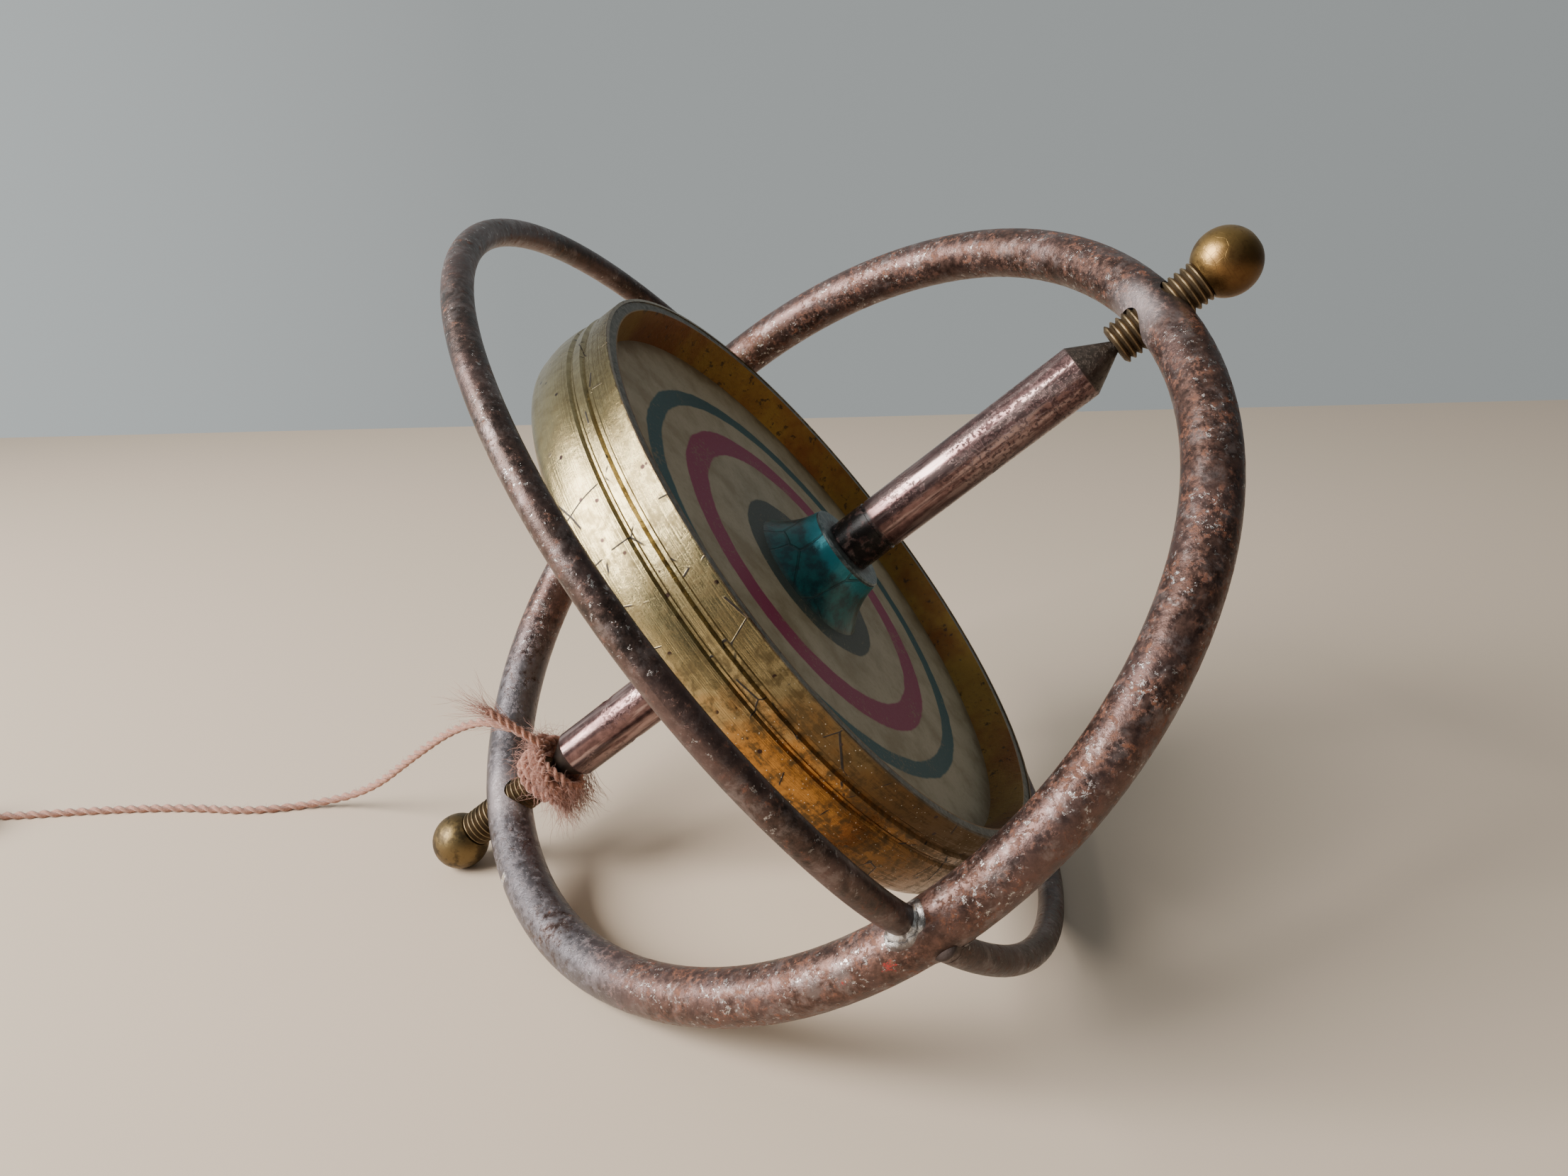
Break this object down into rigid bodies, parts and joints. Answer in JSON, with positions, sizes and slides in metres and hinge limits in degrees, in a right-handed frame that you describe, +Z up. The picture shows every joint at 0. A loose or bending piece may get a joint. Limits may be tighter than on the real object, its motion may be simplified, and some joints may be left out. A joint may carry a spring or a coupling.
{
  "type": "toy gyroscope",
  "caption": "Old toy gyroscope: brass-rimmed flywheel on a steel spindle between screwed bearings in a thick ring, with a thin guard ring and a pull string.",
  "frame": {"origin": "middle of the underside of the gyroscope's box, on the surface that it rests on, without the string", "axes": "+Z up, as it rests on its lower ball knob and both rings; the spin axis lies in the XZ plane and rises 37 degrees towards +X"},
  "size_m": [0.1582, 0.0856, 0.0682],
  "materials": {
    "rusted_steel": "rust-brown patina with bright worn patches",
    "solder": "dull smeared solder",
    "aged_brass": "dull aged brass",
    "rim_brass": "turned brass, pale where handled, orange where lacquer is left",
    "spindle_steel": "browned steel with bright wear",
    "cast_grey": "dull grey casting",
    "printed_disc": "cream disc with printed rings, worn",
    "teal_lacquer": "cracked teal lacquer",
    "collar_metal": "grey metal",
    "string": "twisted twine, pinkish brown"
  },
  "bodies": {
    "ring_frame": {"outer_ring": "rusted_steel", "guard_half_near": "rusted_steel", "guard_half_far": "rusted_steel", "solder_near": "solder", "solder_far": "solder", "solder_lap": "solder", "pull_string": "string", "string_loop": "string", "string_coil": "string"},
    "flywheel": {"spindle": "spindle_steel", "web": "cast_grey", "front_print": "printed_disc", "rear_print": "printed_disc", "front_boss": "teal_lacquer", "rear_boss": "teal_lacquer", "front_collar": "collar_metal", "rear_collar": "collar_metal", "rim_core": "cast_grey", "rim_shell": "rim_brass"},
    "upper_bearing": {"upper_screw": "aged_brass", "upper_knob": "aged_brass"},
    "lower_bearing": {"lower_screw": "aged_brass", "lower_knob": "aged_brass"}
  },
  "joints": [
    {"name": "flywheel_spin", "type": "hinge", "parent": "ring_frame", "child": "flywheel", "pos_m": [0.00036, -0.00022, 0.03259], "axis": [0.7979, 0, 0.6028], "continuous": true},
    {"name": "upper_screw_travel", "type": "slide", "parent": "ring_frame", "child": "upper_bearing", "axis": [0.7979, 0, 0.6028], "range_m": [0, 0.004]},
    {"name": "lower_screw_travel", "type": "slide", "parent": "ring_frame", "child": "lower_bearing", "axis": [-0.7979, 0, -0.6028], "range_m": [0, 0.004]}
  ]
}
